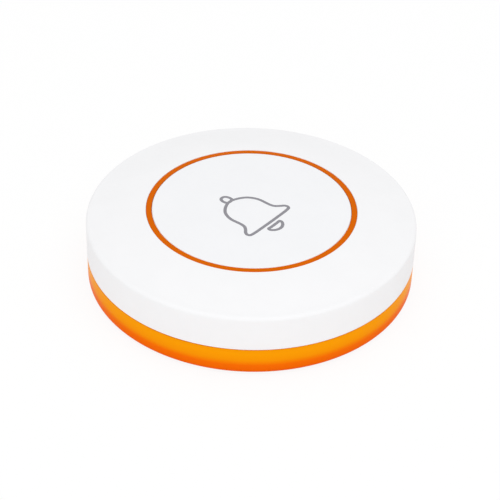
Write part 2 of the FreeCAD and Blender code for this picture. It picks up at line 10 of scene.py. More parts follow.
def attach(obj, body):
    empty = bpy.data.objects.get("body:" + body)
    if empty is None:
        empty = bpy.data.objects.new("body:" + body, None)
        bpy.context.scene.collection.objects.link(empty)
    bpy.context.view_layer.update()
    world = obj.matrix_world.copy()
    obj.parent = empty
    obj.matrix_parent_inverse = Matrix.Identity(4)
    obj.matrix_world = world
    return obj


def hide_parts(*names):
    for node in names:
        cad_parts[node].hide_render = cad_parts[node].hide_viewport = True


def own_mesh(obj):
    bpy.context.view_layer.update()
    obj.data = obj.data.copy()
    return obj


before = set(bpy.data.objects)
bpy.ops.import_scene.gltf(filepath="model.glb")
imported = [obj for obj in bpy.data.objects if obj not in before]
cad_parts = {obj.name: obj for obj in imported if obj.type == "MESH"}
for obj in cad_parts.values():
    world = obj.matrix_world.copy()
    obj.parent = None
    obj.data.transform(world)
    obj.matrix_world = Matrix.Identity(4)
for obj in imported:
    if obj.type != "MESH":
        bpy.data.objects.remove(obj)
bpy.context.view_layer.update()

# Lengths in names and sections are millimetres. MM turns them into the scene's metres.

MM = 0.001
SEGMENTS = 192
FRAME_SIDE = 500


# Camera, at the photograph's viewing angle

VIEW_ELEVATION = math.radians(35.3)
VIEW_AZIMUTH = math.radians(-51.2)
VIEW_ROLL = math.radians(1.6)
VIEW_DISTANCE = 0.300
VIEW_CENTRE = Vector((0, 0, 12.55 * MM))
PIXELS_PER_UNIT = 1651
CENTRE_PIXEL = (251.5, 215.2)
SENSOR_WIDTH = 36


def direction(azimuth, elevation):
    """Unit vector from the object towards the camera or a lamp; angles in radians."""
    return Vector((
        math.sin(azimuth) * math.cos(elevation),
        -math.cos(azimuth) * math.cos(elevation),
        math.sin(elevation)))


def make_camera():
    """Camera aimed so that the middle of the top edge falls on its pixel of the picture."""
    data = bpy.data.cameras.new("studio_camera")
    data.sensor_fit = "HORIZONTAL"
    data.sensor_width = SENSOR_WIDTH
    data.lens = PIXELS_PER_UNIT / FRAME_SIDE * SENSOR_WIDTH
    data.clip_start = 0.01
    data.clip_end = 50
    camera = bpy.data.objects.new("studio_camera", data)
    bpy.context.scene.collection.objects.link(camera)
    outward = direction(VIEW_AZIMUTH, VIEW_ELEVATION)
    right = Vector((0, 0, 1)).cross(outward).normalized()
    above = outward.cross(right).normalized()
    across_px = CENTRE_PIXEL[0] - FRAME_SIDE / 2
    down_px = CENTRE_PIXEL[1] - FRAME_SIDE / 2
    tilted_right = right * math.cos(VIEW_ROLL) + above * math.sin(VIEW_ROLL)
    tilted_above = above * math.cos(VIEW_ROLL) - right * math.sin(VIEW_ROLL)
    place = VIEW_CENTRE + outward * VIEW_DISTANCE
    off_centre = tilted_right * across_px - tilted_above * down_px
    aim = VIEW_CENTRE - off_centre * VIEW_DISTANCE / PIXELS_PER_UNIT
    backward = (place - aim).normalized()
    upward = backward.cross(tilted_right).normalized()
    sideways = upward.cross(backward)
    turned = Matrix((sideways, upward, backward)).transposed().to_4x4()
    camera.matrix_world = Matrix.Translation(place) @ turned
    bpy.context.scene.camera = camera


make_camera()


# Materials. Pattern scales are in patches per metre, reliefs in metres, colours linear.

MOULD_GRAIN = 5200


def new_material(name):
    """Empty node material with its principled shader and an object coordinate."""
    material = bpy.data.materials.new(name)
    material.use_nodes = True
    tree = material.node_tree
    shader = tree.nodes["Principled BSDF"]
    place = tree.nodes.new("ShaderNodeTexCoord")
    return material, tree, shader, place.outputs["Object"]


def speckle(tree, place, scale, detail=4.0, roughness=0.6):
    """Noise value over the surface."""
    noise = tree.nodes.new("ShaderNodeTexNoise")
    noise.inputs["Scale"].default_value = scale
    noise.inputs["Detail"].default_value = detail
    noise.inputs["Roughness"].default_value = roughness
    tree.links.new(place, noise.inputs["Vector"])
    return noise.outputs["Fac"]


def spread(tree, value, low, high, start=0.0, end=1.0):
    """Map a value that runs from start to end onto another range."""
    node = tree.nodes.new("ShaderNodeMapRange")
    node.inputs["From Min"].default_value = start
    node.inputs["From Max"].default_value = end
    node.inputs["To Min"].default_value = low
    node.inputs["To Max"].default_value = high
    tree.links.new(value, node.inputs["Value"])
    return node.outputs["Result"]


def computed(tree, operation, *values):
    """Math node over other nodes' values and constants."""
    node = tree.nodes.new("ShaderNodeMath")
    node.operation = operation
    for socket, value in zip(node.inputs, values):
        if isinstance(value, float):
            socket.default_value = value
        else:
            tree.links.new(value, socket)
    return node.outputs["Value"]


def shades(tree, value, stops):
    """Colour ramp over a value; stops are place and colour."""
    node = tree.nodes.new("ShaderNodeValToRGB")
    ramp = node.color_ramp
    while len(ramp.elements) < len(stops):
        ramp.elements.new(0.5)
    for element, (spot, colour) in zip(ramp.elements, stops):
        element.position = spot
        element.color = (*colour, 1)
    tree.links.new(value, node.inputs["Fac"])
    return node.outputs["Color"]


def relief(tree, shader, height, strength, distance):
    """Bump the surface by a height value."""
    bump = tree.nodes.new("ShaderNodeBump")
    bump.inputs["Strength"].default_value = strength
    bump.inputs["Distance"].default_value = distance
    tree.links.new(height, bump.inputs["Height"])
    tree.links.new(bump.outputs["Normal"], shader.inputs["Normal"])


def moulded_plastic(name, colour, shade, roughness, specular, grain, depth):
    """Moulded plastic: faint mottling, uneven gloss and the fine grain of the tool."""
    material, tree, shader, place = new_material(name)
    cloud = speckle(tree, place, scale=160, detail=2)
    tree.links.new(shades(tree, cloud, [(0.3, shade), (0.7, colour)]), shader.inputs["Base Color"])
    fine = speckle(tree, place, scale=grain, detail=3)
    gloss = spread(tree, fine, roughness - 0.06, roughness + 0.06)
    tree.links.new(gloss, shader.inputs["Roughness"])
    shader.inputs["Specular IOR Level"].default_value = specular
    relief(tree, shader, fine, strength=0.35, distance=depth)
    return material


def make_orange_plastic_with_painted_shade():
    """Glossy orange ABS with painted light and shade by height: amber painted light under the
    seam, redder painted shade towards the foot.
    """
    material, tree, shader, place = new_material("orange_abs_band")
    axes = tree.nodes.new("ShaderNodeSeparateXYZ")
    tree.links.new(place, axes.inputs["Vector"])
    level = spread(tree, axes.outputs["Z"], 0.0, 1.0, start=0.3 * MM, end=5.8 * MM)
    cloud = speckle(tree, place, scale=220, detail=2)
    sway = computed(tree, "ADD", level, spread(tree, cloud, -0.02, 0.02))
    # Painted shade by height: darkest red at the foot edge, redder low on the wall, amber higher
    # up, and a painted shadow line just under the seam.
    stops = [
        (0.0, (0.76, 0.115, 0.003)), (0.12, (0.83, 0.125, 0.001)), (0.36, (0.88, 0.15, 0.001)),
        (0.56, (0.90, 0.29, 0.001)), (0.80, (0.92, 0.33, 0.001)), (0.955, (0.90, 0.31, 0.001)),
        (0.985, (0.64, 0.16, 0.001)),
    ]
    tree.links.new(shades(tree, sway, stops), shader.inputs["Base Color"])
    fine = speckle(tree, place, scale=MOULD_GRAIN, detail=3)
    tree.links.new(spread(tree, fine, 0.24, 0.34), shader.inputs["Roughness"])
    shader.inputs["Specular IOR Level"].default_value = 0.01
    relief(tree, shader, fine, strength=0.2, distance=0.000006)
    return material


def brushed_metal(name, colour, shade, roughness, stretch):
    """Metal with fine drawn lines; stretch gives the pattern's scale along each axis."""
    material, tree, shader, place = new_material(name)
    shader.inputs["Metallic"].default_value = 1
    mapping = tree.nodes.new("ShaderNodeMapping")
    mapping.inputs["Scale"].default_value = stretch
    tree.links.new(place, mapping.inputs["Vector"])
    lines = speckle(tree, mapping.outputs["Vector"], scale=900, detail=5, roughness=0.7)
    tree.links.new(shades(tree, lines, [(0.3, shade), (0.7, colour)]), shader.inputs["Base Color"])
    gloss = spread(tree, lines, roughness - 0.08, roughness + 0.1)
    tree.links.new(gloss, shader.inputs["Roughness"])
    relief(tree, shader, lines, strength=0.25, distance=0.000008)
    return material


def rubber(name, colour, shade, roughness):
    """Dull soft rubber with a fine, dusty grain."""
    material, tree, shader, place = new_material(name)
    dust = speckle(tree, place, scale=900, detail=6)
    tree.links.new(shades(tree, dust, [(0.35, shade), (0.7, colour)]), shader.inputs["Base Color"])
    gloss = spread(tree, dust, roughness - 0.1, roughness + 0.08)
    tree.links.new(gloss, shader.inputs["Roughness"])
    shader.inputs["Specular IOR Level"].default_value = 0.25
    relief(tree, shader, dust, strength=0.4, distance=0.00002)
    return material


def make_bell_ink():
    """Grey pad-printed ink, slightly uneven where it thins out."""
    material, tree, shader, place = new_material("grey_print_ink")
    cover = speckle(tree, place, scale=3500)
    stops = [(0.3, (0.235, 0.23, 0.255)), (0.7, (0.275, 0.27, 0.295))]
    tree.links.new(shades(tree, cover, stops), shader.inputs["Base Color"])
    tree.links.new(spread(tree, cover, 0.45, 0.6), shader.inputs["Roughness"])
    shader.inputs["Specular IOR Level"].default_value = 0.3
    relief(tree, shader, cover, strength=0.2, distance=0.000005)
    return material


def make_board_laminate():
    """Green solder mask, with the copper tracks showing lighter and proud beneath it."""
    material, tree, shader, place = new_material("board_laminate")
    reach = []
    for feature in ("F1", "F2"):
        cells = tree.nodes.new("ShaderNodeTexVoronoi")
        cells.feature = feature
        cells.distance = "CHEBYCHEV"
        cells.inputs["Scale"].default_value = 190
        tree.links.new(place, cells.inputs["Vector"])
        reach.append(cells.outputs["Distance"])
    border = computed(tree, "SUBTRACT", reach[1], reach[0])
    tracks = tree.nodes.new("ShaderNodeMapRange")
    tracks.interpolation_type = "SMOOTHSTEP"
    tracks.inputs["From Min"].default_value = 0.05
    tracks.inputs["From Max"].default_value = 0.09
    tracks.inputs["To Min"].default_value = 1
    tracks.inputs["To Max"].default_value = 0
    tree.links.new(border, tracks.inputs["Value"])
    stops = [(0.0, (0.006, 0.10, 0.032)), (1.0, (0.014, 0.17, 0.052))]
    tree.links.new(shades(tree, tracks.outputs["Result"], stops), shader.inputs["Base Color"])
    fine = speckle(tree, place, scale=4000, detail=3)
    tree.links.new(spread(tree, fine, 0.22, 0.38), shader.inputs["Roughness"])
    relief(tree, shader, tracks.outputs["Result"], strength=0.5, distance=0.00003)
    return material


WHITE_SHELL = moulded_plastic(
    "white_abs_shell", (0.872, 0.872, 0.882), (0.860, 0.860, 0.870),
    roughness=0.55, specular=0.06, grain=MOULD_GRAIN, depth=0.000008)
WHITE_BUTTON = moulded_plastic(
    "white_abs_button", (0.856, 0.861, 0.877), (0.845, 0.850, 0.866),
    roughness=0.38, specular=0.3, grain=MOULD_GRAIN, depth=0.000007)
# The band's orange carries painted light and shade by height.
ORANGE_BAND = make_orange_plastic_with_painted_shade()
# The ring is the band's orange plastic made darker: painted shade for its recess round the button.
ORANGE_RING_PAINTED_SHADE = moulded_plastic(
    "orange_abs_ring_painted_shade", (0.67, 0.128, 0.001), (0.64, 0.12, 0.001),
    roughness=0.36, specular=0.01, grain=MOULD_GRAIN, depth=0.000006)
FOOT_RUBBER = rubber(
    "foot_rubber", (0.045, 0.045, 0.048), (0.028, 0.028, 0.03), roughness=0.78)
BOOT_SILICONE = rubber(
    "boot_silicone", (0.52, 0.52, 0.50), (0.46, 0.46, 0.44), roughness=0.55)
BELL_INK = make_bell_ink()
SCREW_ZINC = brushed_metal(
    "screw_zinc", (0.66, 0.67, 0.70), (0.50, 0.51, 0.53),
    roughness=0.32, stretch=(1, 1, 5))
CELL_NICKEL = brushed_metal(
    "cell_nickel", (0.74, 0.73, 0.71), (0.60, 0.59, 0.57),
    roughness=0.28, stretch=(1, 1, 9))
SPRING_NICKEL = brushed_metal(
    "spring_nickel", (0.72, 0.71, 0.68), (0.58, 0.57, 0.55),
    roughness=0.26, stretch=(1, 8, 8))
TINNED_COPPER = brushed_metal(
    "tinned_copper", (0.78, 0.77, 0.74), (0.62, 0.61, 0.59),
    roughness=0.35, stretch=(3, 3, 3))
BOARD_LAMINATE = make_board_laminate()
SWITCH_PLASTIC = moulded_plastic(
    "switch_plastic", (0.035, 0.035, 0.037), (0.026, 0.026, 0.028),
    roughness=0.5, specular=0.35, grain=6000, depth=0.00001)
CHIP_PLASTIC = moulded_plastic(
    "chip_plastic", (0.022, 0.022, 0.024), (0.015, 0.015, 0.016),
    roughness=0.6, specular=0.3, grain=9000, depth=0.000015)
LED_RESIN = moulded_plastic(
    "led_resin", (0.85, 0.80, 0.55), (0.80, 0.74, 0.48),
    roughness=0.25, specular=0.5, grain=6000, depth=0.000004)
CAPACITOR_CERAMIC = moulded_plastic(
    "capacitor_ceramic", (0.42, 0.27, 0.15), (0.34, 0.21, 0.11),
    roughness=0.5, specular=0.4, grain=9000, depth=0.00001)
RESISTOR_CERAMIC = moulded_plastic(
    "resistor_ceramic", (0.03, 0.03, 0.035), (0.02, 0.02, 0.023),
    roughness=0.45, specular=0.4, grain=9000, depth=0.00001)


# Turned and raised shapes. OVERRUN is how far cutters and joined ends run past a surface.

OVERRUN = 0.5
REACH_SHARE = 0.49
EASE = 0.04
ON_AXIS = 1e-6


def rounded(corners, steps=7):
    """Closed section with rounded corners, each given as radius, height and rounding.

    A rounding takes at most REACH_SHARE of a side, with a point EASE beyond each end.
    """
    points = []
    count = len(corners)
    for number, (radius, height, bend) in enumerate(corners):
        here = Vector((radius, height))
        if not bend:
            points.append(here)
            continue
        before = Vector(corners[number - 1][:2]) - here
        after = Vector(corners[(number + 1) % count][:2]) - here
        half = before.angle(after) / 2
        room = REACH_SHARE * before.length, REACH_SHARE * after.length
        reach = min(bend / math.tan(half), *room)
        bend = reach * math.tan(half)
        before.normalize()
        after.normalize()
        centre = here + (before + after).normalized() * bend / math.sin(half)
        start = here + before * reach
        finish = here + after * reach
        ease = min(EASE, reach / 3)
        points.append(start + before * ease)
        swing = (start - centre).angle_signed(finish - centre)
        for step in range(steps + 1):
            arm = start - centre
            arm.rotate(Matrix.Rotation(-swing * step / steps, 2))
            points.append(centre + arm)
        points.append(finish + after * ease)
    return points


def turned(points, segments=SEGMENTS):
    """Mesh of a closed section, in millimetres, turned about the Z axis."""
    mesh = bmesh.new()
    rings = []
    for radius, height in points:
        if radius < ON_AXIS:
            rings.append([mesh.verts.new((0, 0, height * MM))])
            continue
        steps = [2 * math.pi * step / segments for step in range(segments)]
        rings.append([
            mesh.verts.new((radius * MM * math.cos(a), radius * MM * math.sin(a), height * MM))
            for a in steps])
    for number, low in enumerate(rings):
        high = rings[(number + 1) % len(rings)]
        if len(low) == 1 and len(high) == 1:
            continue
        for step in range(segments):
            following = (step + 1) % segments
            corners = [low[step % len(low)], low[following % len(low)],
                       high[following % len(high)], high[step % len(high)]]
            mesh.faces.new(list(dict.fromkeys(corners)))
    bmesh.ops.recalc_face_normals(mesh, faces=mesh.faces)
    return mesh


def extruded(outline, low, high):
    """Mesh of a closed outline in the XY plane, in millimetres, raised between two levels."""
    mesh = bmesh.new()
    bottom = [mesh.verts.new((x * MM, y * MM, low * MM)) for x, y in outline]
    top = [mesh.verts.new((x * MM, y * MM, high * MM)) for x, y in outline]
    mesh.faces.new(bottom)
    mesh.faces.new(top)
    for step in range(len(outline)):
        following = (step + 1) % len(outline)
        mesh.faces.new((bottom[step], bottom[following], top[following], top[step]))
    bmesh.ops.recalc_face_normals(mesh, faces=mesh.faces)
    return mesh


def plate(half_x, half_y):
    """Outline of a rectangle about the axis."""
    return [(-half_x, -half_y), (half_x, -half_y), (half_x, half_y), (-half_x, half_y)]


def sector(outer, inner, half_angle, steps):
    """Outline of a piece of a ring between two radii, to both sides of the X axis."""
    half = math.radians(half_angle)
    arc = [half * (step / steps - 1) for step in range(2 * steps + 1)]
    outline = [(outer * math.cos(a), outer * math.sin(a)) for a in arc]
    return outline + [(inner * math.cos(a), inner * math.sin(a)) for a in reversed(arc)]


def upright(outline, width):
    """Mesh of an outline in the XZ plane, in millimetres, as wide as given across it."""
    mesh = extruded(outline, -width / 2, width / 2)
    bmesh.ops.rotate(mesh, verts=mesh.verts, matrix=Matrix.Rotation(math.pi / 2, 3, "X"))
    return mesh


def round_bar(radius, low, high, bend=0.0, steps=40):
    """Short round bar on the Z axis with rounded ends."""
    section = [(0, low, 0), (radius, low, bend), (radius, high, bend), (0, high, 0)]
    return turned(rounded(section, 4), steps)


def shifted(mesh, across, along=0.0, angle=0.0):
    """Move a mesh in the XY plane, then turn it about the Z axis by degrees."""
    bmesh.ops.translate(mesh, verts=mesh.verts, vec=(across * MM, along * MM, 0))
    turn = Matrix.Rotation(math.radians(angle), 3, "Z")
    bmesh.ops.rotate(mesh, verts=mesh.verts, matrix=turn)
    return mesh


def solid(mesh, name, material):
    """Turn a mesh in the making into an object of the scene."""
    data = bpy.data.meshes.new(name)
    mesh.to_mesh(data)
    mesh.free()
    data.materials.append(material)
    piece = bpy.data.objects.new(name, data)
    bpy.context.scene.collection.objects.link(piece)
    return piece


def evaluated(piece):
    """Bake the modifiers of a piece into its mesh."""
    graph = bpy.context.evaluated_depsgraph_get()
    baked = bpy.data.meshes.new_from_object(piece.evaluated_get(graph))
    piece.modifiers.clear()
    old = piece.data
    piece.data = baked
    baked.name = piece.name
    bpy.data.meshes.remove(old)


def combine(piece, tools, operation):
    """Join tools to a piece or cut them out of it."""
    for tool in tools:
        modifier = piece.modifiers.new("shape", "BOOLEAN")
        modifier.operation = operation
        modifier.solver = "MANIFOLD"
        modifier.object = tool
        evaluated(piece)
        bpy.data.objects.remove(tool)


def make_ring_tree():
    """Geometry Nodes: copies of a piece at equal steps round the Z axis."""
    tree = bpy.data.node_groups.new("copies_round_the_axis", "GeometryNodeTree")
    face = tree.interface
    face.new_socket("Geometry", in_out="OUTPUT", socket_type="NodeSocketGeometry")
    face.new_socket("Geometry", in_out="INPUT", socket_type="NodeSocketGeometry")
    face.new_socket("Count", in_out="INPUT", socket_type="NodeSocketInt")
    face.new_socket("First Angle", in_out="INPUT", socket_type="NodeSocketFloat")
    face.new_socket("Step Angle", in_out="INPUT", socket_type="NodeSocketFloat")
    face.new_socket("Finish", in_out="INPUT", socket_type="NodeSocketMaterial")
    start = tree.nodes.new("NodeGroupInput")
    line = tree.nodes.new("GeometryNodeMeshLine")
    line.mode = "OFFSET"
    line.inputs["Offset"].default_value = (0, 0, 0)
    index = tree.nodes.new("GeometryNodeInputIndex")
    swing = tree.nodes.new("ShaderNodeMath")
    swing.operation = "MULTIPLY_ADD"
    turn = tree.nodes.new("ShaderNodeCombineXYZ")
    copies = tree.nodes.new("GeometryNodeInstanceOnPoints")
    real = tree.nodes.new("GeometryNodeRealizeInstances")
    paint = tree.nodes.new("GeometryNodeSetMaterial")
    end = tree.nodes.new("NodeGroupOutput")
    link = tree.links.new
    link(start.outputs["Count"], line.inputs["Count"])
    link(index.outputs["Index"], swing.inputs[0])
    link(start.outputs["Step Angle"], swing.inputs[1])
    link(start.outputs["First Angle"], swing.inputs[2])
    link(swing.outputs["Value"], turn.inputs["Z"])
    link(line.outputs["Mesh"], copies.inputs["Points"])
    link(start.outputs["Geometry"], copies.inputs["Instance"])
    link(turn.outputs["Vector"], copies.inputs["Rotation"])
    link(copies.outputs["Instances"], real.inputs["Geometry"])
    link(real.outputs["Geometry"], paint.inputs["Geometry"])
    link(start.outputs["Finish"], paint.inputs["Material"])
    link(paint.outputs["Geometry"], end.inputs["Geometry"])
    return tree


RING_TREE = make_ring_tree()


def repeated(mesh, name, count, material, first=0.0, step=None):
    """Repeat a mesh round the Z axis; angles are in degrees."""
    piece = solid(mesh, name, material)
    modifier = piece.modifiers.new("round", "NODES")
    modifier.node_group = RING_TREE
    sockets = {item.name: item.identifier for item in RING_TREE.interface.items_tree
               if item.in_out == "INPUT"}
    modifier[sockets["Count"]] = count
    modifier[sockets["First Angle"]] = math.radians(first)
    modifier[sockets["Step Angle"]] = math.radians(step if step is not None else 360 / count)
    modifier[sockets["Finish"]] = material
    evaluated(piece)
    return piece


def dressed(piece, body, finish, *nodes, sharp=32):
    """Smooth a finished piece, let it ride on its body and stand for its nodes."""
    for face in piece.data.polygons:
        face.use_smooth = True
    piece.data.set_sharp_from_angle(angle=math.radians(sharp))
    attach(piece, body)
    if nodes:
        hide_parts(*nodes)


# Levels and radii of the casing, in millimetres, as in the CAD model. A leg or stop rib is a
# plate of LEG_HALF sizes, which ends at the flange's edge.

DISC = 30.0
SEAM = 5.75
CROWN_EDGE = 12.55
CROWN_TOP = 14.2
SHELL_UNDERSIDE = 11.775
WINDOW = 19.15
SHELL_INNER = 28.5
BASE = 29.8
BASE_BOTTOM = 0.3
FLOOR_TOP = 1.8
TONGUE_TOP = 7.4
TONGUE_OUTER = 28.4
TONGUE_INNER = 27.3
SCREW_RING = 24.3
BOARD_BOTTOM = 6.2
BOARD_TOP = 7.2
HEAD_SEAT = 2.55
DECK_BOTTOM = 9.75
DECK_TOP = 10.75
FLANGE = 22.0
COLLAR_OUTER = 19.05
COLLAR_INNER = 18.25
RING_TOP = 14.1
BUTTON = 18.1
CAP_UNDERSIDE = 13.0
SKIRT_BOTTOM = 12.6
SHELL_EDGE = 0.8
BOSS = 1.9
BORE = 0.85
BORE_TOP = 11.65
COLUMN = 4.0
POCKET = 3.1
PASS_HOLE = 1.15
LEG_HALF = (1, 2)
BAY = 12.3
THROAT = 11.3
LEDGE_BOTTOM = 1.0
COVER = 12.0
COVER_TOP = 2.4
COVER_TURN = 40.0


def circle_cut(radius, low, high, steps=48):
    """Round tool for a hole between two levels."""
    return turned([(0, low), (radius, low), (radius, high), (0, high)], steps)


# White top shell

EDGE_ROUNDING = 0.72
EDGE_DROP = 0.03
ARCH_SHARE = 0.6


def crown_line(count=16):
    """Points of the crown, part arch and part straight, from the edge to the window."""
    rise = CROWN_TOP - CROWN_EDGE
    span = DISC - SHELL_EDGE - WINDOW
    points = []
    for step in range(1, count):
        share = step / count
        arch = ARCH_SHARE * math.sin(share * math.pi / 2) + (1 - ARCH_SHARE) * share
        points.append((DISC - SHELL_EDGE - span * share, CROWN_EDGE + rise * arch, 0))
    return points


def make_top_shell():
    """Shell with a softly rounded edge, a crowned top, screw bosses and stop ribs."""
    section = [
        (DISC, SEAM, 0.1), (DISC, CROWN_EDGE - EDGE_DROP, EDGE_ROUNDING),
        *crown_line(),
        (WINDOW, CROWN_TOP, 0.12), (WINDOW, SHELL_UNDERSIDE, 0.1),
        (SHELL_INNER, SHELL_UNDERSIDE, 0.5), (SHELL_INNER, SEAM, 0.08),
    ]
    shell = solid(turned(rounded(section, 9)), "moulded_top_shell", WHITE_SHELL)
    boss = shifted(round_bar(BOSS, BOARD_TOP, SHELL_UNDERSIDE + OVERRUN), SCREW_RING)
    bore = shifted(circle_cut(BORE, BOARD_TOP - OVERRUN, BORE_TOP), SCREW_RING)
    rib = extruded(plate(*LEG_HALF), DECK_TOP, SHELL_UNDERSIDE + OVERRUN)
    rib = shifted(rib, FLANGE - LEG_HALF[0])
    combine(shell, [repeated(boss, "bosses", 3, WHITE_SHELL),
                    repeated(rib, "stop_ribs", 3, WHITE_SHELL, first=60)], "UNION")
    combine(shell, [repeated(bore, "bores", 3, WHITE_SHELL)], "DIFFERENCE")
    dressed(shell, "housing", "white_abs", "top_shell")


# Orange base. Its wall is nearly upright, as in the photo, and wider than the CAD model's.

WALL_TOP = BASE + 0.17
WALL_FOOT = BASE + 0.15
WALL_BREAK = 2.9
RIB_END = 27.85
RIB_TOP = FLOOR_TOP + 1.4
TOWER_OUTER = BAY + 2
TOWER_INNER = 10.3
TOWER_BOTTOM = 2.7
ENTRY_HALF_ANGLE = 16
ENTRY_GAP = 0.05
ENTRY_OVERRUN = 0.1


def make_base_shell():
    """Dish with a glossy wall, a tongue under the seam, ribs, columns and the bayonet bay."""
    section = [
        (BAY, BASE_BOTTOM, 0.2), (WALL_FOOT, BASE_BOTTOM, 1.1), (WALL_TOP, WALL_BREAK, 0.0),
        (WALL_TOP, SEAM, 0.1), (TONGUE_OUTER, SEAM, 0.05), (TONGUE_OUTER, TONGUE_TOP, 0.2),
        (TONGUE_INNER, TONGUE_TOP, 0.2), (TONGUE_INNER, FLOOR_TOP, 0.4),
        (THROAT, FLOOR_TOP, 0.1), (THROAT, LEDGE_BOTTOM, 0.1), (BAY, LEDGE_BOTTOM, 0.05),
    ]
    base = solid(turned(rounded(section, 9)), "moulded_base", ORANGE_BAND)
    low = FLOOR_TOP - OVERRUN
    rib = upright([
        (BAY, low), (RIB_END, low), (RIB_END, RIB_TOP), (TOWER_OUTER, RIB_TOP),
        (TOWER_OUTER, BOARD_BOTTOM), (TOWER_INNER, BOARD_BOTTOM), (TOWER_INNER, TOWER_BOTTOM),
        (BAY, TOWER_BOTTOM)], width=1.0)
    column = shifted(round_bar(COLUMN, low, BOARD_BOTTOM, bend=0.15, steps=64), SCREW_RING)
    combine(base, [repeated(rib, "floor_ribs", 6, ORANGE_BAND)], "UNION")
    combine(base, [repeated(column, "columns", 3, ORANGE_BAND)], "UNION")
    pocket = shifted(turned(rounded([
        (0, 0, 0), (POCKET, 0, 0), (POCKET, HEAD_SEAT, 0.1), (PASS_HOLE, HEAD_SEAT, 0),
        (PASS_HOLE, BOARD_BOTTOM + OVERRUN, 0), (0, BOARD_BOTTOM + OVERRUN, 0)], 3), 64),
        SCREW_RING)
    combine(base, [repeated(pocket, "screw_pockets", 3, ORANGE_BAND)], "DIFFERENCE")
    entry = extruded(
        sector(BAY - ENTRY_GAP, THROAT - OVERRUN, ENTRY_HALF_ANGLE, steps=8),
        LEDGE_BOTTOM - ENTRY_OVERRUN, FLOOR_TOP + ENTRY_OVERRUN)
    combine(base, [repeated(entry, "bayonet_entries", 3, ORANGE_BAND)], "DIFFERENCE")
    dressed(base, "housing", "orange_abs", "base_shell")


# Push button

FACE_EDGE = 17.4
FACE_STEPS = 14
DOME_RIM = 17.9
DOME_RIM_HEIGHT = CROWN_TOP + 0.01
DOME_RISE = 0.325
POST = 1.6
POST_BOTTOM = 11.9
SKIRT_INNER = 17.1
HOOK_INNER = 15
HOOK_OUTER = 16
HOOK_TIP = 16.65
HOOK_BOTTOM = 8.95
HOOK_RAMP_TOP = 9.45
HOOK_TOP = 9.7
HOOK_WIDTH = 4


def dome_height(radius):
    """Height of the button's face above the table at a distance from its axis."""
    return DOME_RIM_HEIGHT + DOME_RISE * (1 - (radius / DOME_RIM) ** 2)


def make_button_cap():
    """Cap with a faintly domed face, a soft rim, a skirt, a post and snap hooks."""
    radii = [FACE_EDGE * (1 - step / FACE_STEPS) for step in range(FACE_STEPS)]
    face = [(radius, dome_height(radius), 0) for radius in radii]
    section = [
        (0, POST_BOTTOM, 0), (POST, POST_BOTTOM, 0.15), (POST, CAP_UNDERSIDE, 0.1),
        (SKIRT_INNER, CAP_UNDERSIDE, 0.3), (SKIRT_INNER, SKIRT_BOTTOM, 0.1),
        (BUTTON, SKIRT_BOTTOM, 0.15), (BUTTON, CROWN_TOP, 0.28),
        *face, (0, dome_height(0), 0),
    ]
    cap = solid(turned(rounded(section, 8)), "moulded_button", WHITE_BUTTON)
    root = CAP_UNDERSIDE + 0.6
    hook = upright([
        (HOOK_INNER, HOOK_BOTTOM), (HOOK_OUTER, HOOK_BOTTOM), (HOOK_TIP, HOOK_RAMP_TOP),
        (HOOK_TIP, HOOK_TOP), (HOOK_OUTER, HOOK_TOP), (HOOK_OUTER, root), (HOOK_INNER, root)],
        HOOK_WIDTH)
    combine(cap, [repeated(hook, "snap_hooks", 4, WHITE_BUTTON)], "UNION")
    dressed(cap, "button", "white_abs", "button_cap")


# Bell sign, printed on the button. It sits left of the axis and a trace turned, as in the
# photo, with its loop and clapper a little off its middle. The ink's edges keep apart where
# the line turns back on itself.

SIGN_MIDDLE = -1.5
SIGN_TURN = math.radians(0.9)
INK_WIDTH = 0.6
INK_ROOM_SHARE = 0.98
INK_SUNK = -0.02
INK_PROUD = 0.008
LOOP_SHIFT = 0.12
DROP_SHIFT = -0.33


def smooth_line(points, steps=8):
    """Closed centripetal Catmull-Rom curve through a run of points."""
    points = [Vector(point) for point in points]
    count = len(points)
    line = []
    for number in range(count):
        before, start, end, after = (points[(number + step) % count] for step in (-1, 0, 1, 2))
        one, two, three = (math.sqrt((b - a).length) for a, b in (
            (before, start), (start, end), (end, after)))
        leave = end - start + two * ((start - before) / one - (end - before) / (one + two))
        arrive = end - start + two * ((after - end) / three - (after - start) / (two + three))
        for step in range(steps):
            t = step / steps
            line.append((2 * t ** 3 - 3 * t ** 2 + 1) * start + (t ** 3 - 2 * t ** 2 + t) * leave
                        + (3 * t ** 2 - 2 * t ** 3) * end + (t ** 3 - t ** 2) * arrive)
    return line


def mirrored(half, foot):
    """Closed line from its right half, which starts at the top, and the points at its foot."""
    left = [(-x, y) for x, y in reversed(half[1:])]
    return smooth_line([*half, *foot, *left])


def ink_edge(line, point, side):
    """Edge of the ink on one side of a point, nearer where the line turns back on itself."""
    reach = INK_WIDTH / 2
    for other in line:
        gap = other - point
        if gap.dot(side) > 0:
            reach = min(reach, INK_ROOM_SHARE * gap.length_squared / (2 * gap.dot(side)))
    return point + side * reach


def inked(line):
    """Closed line of ink, as wide as the print, on the button's face."""
    mesh = bmesh.new()
    count = len(line)
    rows = []
    for number, point in enumerate(line):
        ahead = (line[(number + 1) % count] - point).normalized()
        behind = (point - line[number - 1]).normalized()
        way = (ahead + behind).normalized()
        side = Vector((-way.y, way.x))
        row = []
        for edge in (ink_edge(line, point, side), ink_edge(line, point, -side)):
            edge = Matrix.Rotation(SIGN_TURN, 2) @ (edge + Vector((SIGN_MIDDLE, 0)))
            for lift in (INK_SUNK, INK_PROUD):
                height = dome_height(edge.length) + lift
                row.append(mesh.verts.new((edge.x * MM, edge.y * MM, height * MM)))
        rows.append(row)
    for number, row in enumerate(rows):
        following = rows[(number + 1) % count]
        for one, two in ((0, 1), (1, 3), (3, 2), (2, 0)):
            mesh.faces.new((row[one], row[two], following[two], following[one]))
    bmesh.ops.recalc_face_normals(mesh, faces=mesh.faces)
    return mesh


